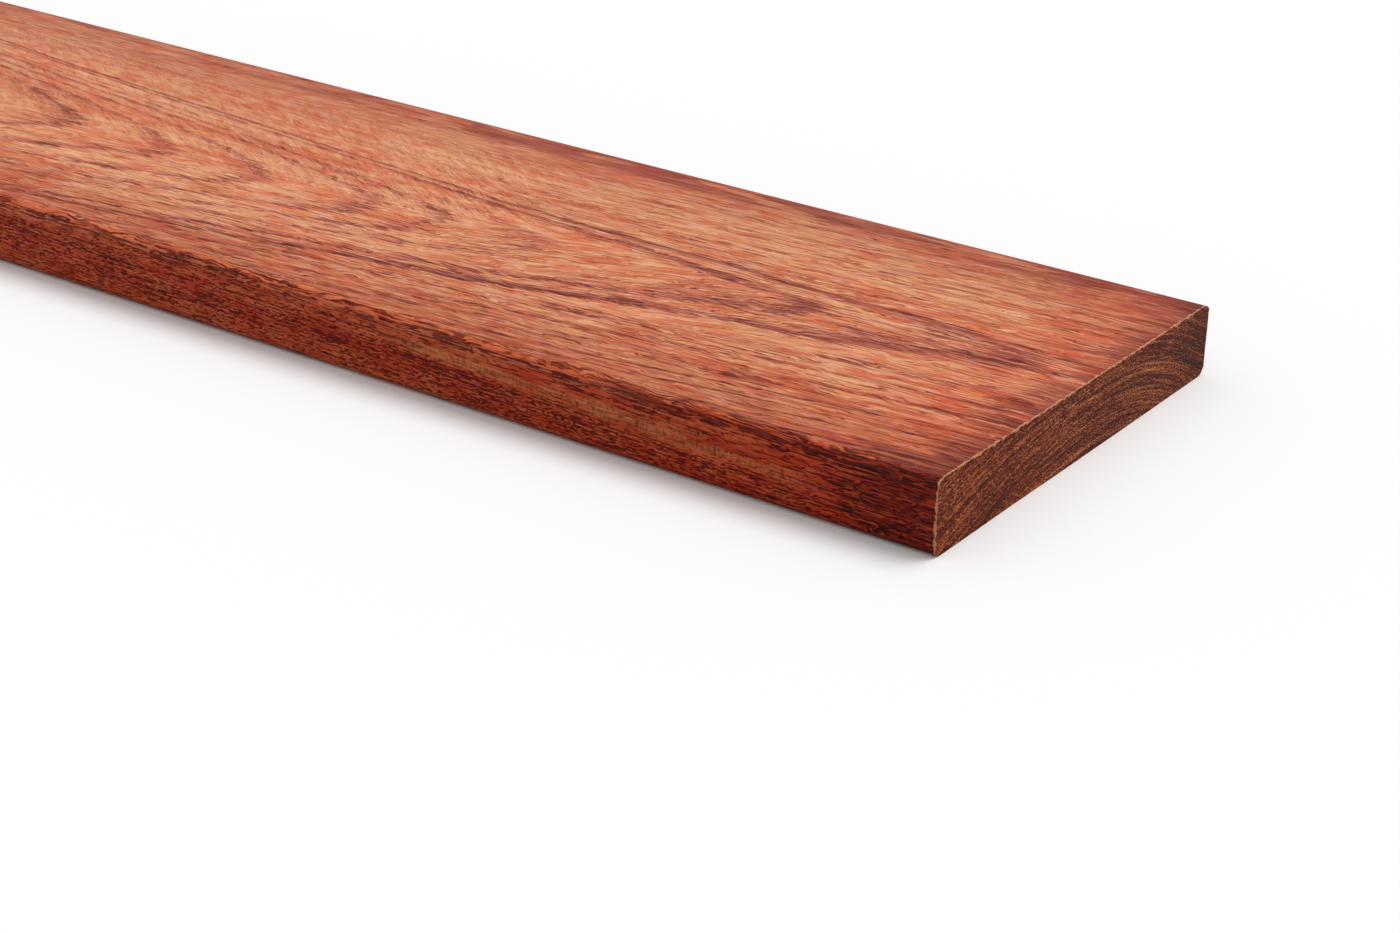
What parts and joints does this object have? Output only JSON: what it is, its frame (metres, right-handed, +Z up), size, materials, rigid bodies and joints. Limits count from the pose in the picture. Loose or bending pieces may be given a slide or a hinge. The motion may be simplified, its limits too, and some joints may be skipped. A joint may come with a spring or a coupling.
{
  "type": "decking board",
  "caption": "Long planed hardwood board with a rectangular section, rounded long edges and square sawn ends, laid flat on joists to walk on.",
  "frame": {"origin": "middle of the underside, where the board rests", "axes": "+X along the board's length, +Y across its width, +Z up out of its walking face"},
  "size_m": [2.45, 0.145, 0.021],
  "materials": {
    "hardwood": "planed bare wood"
  },
  "bodies": {
    "root": {"decking_board": "hardwood"}
  },
  "joints": []
}
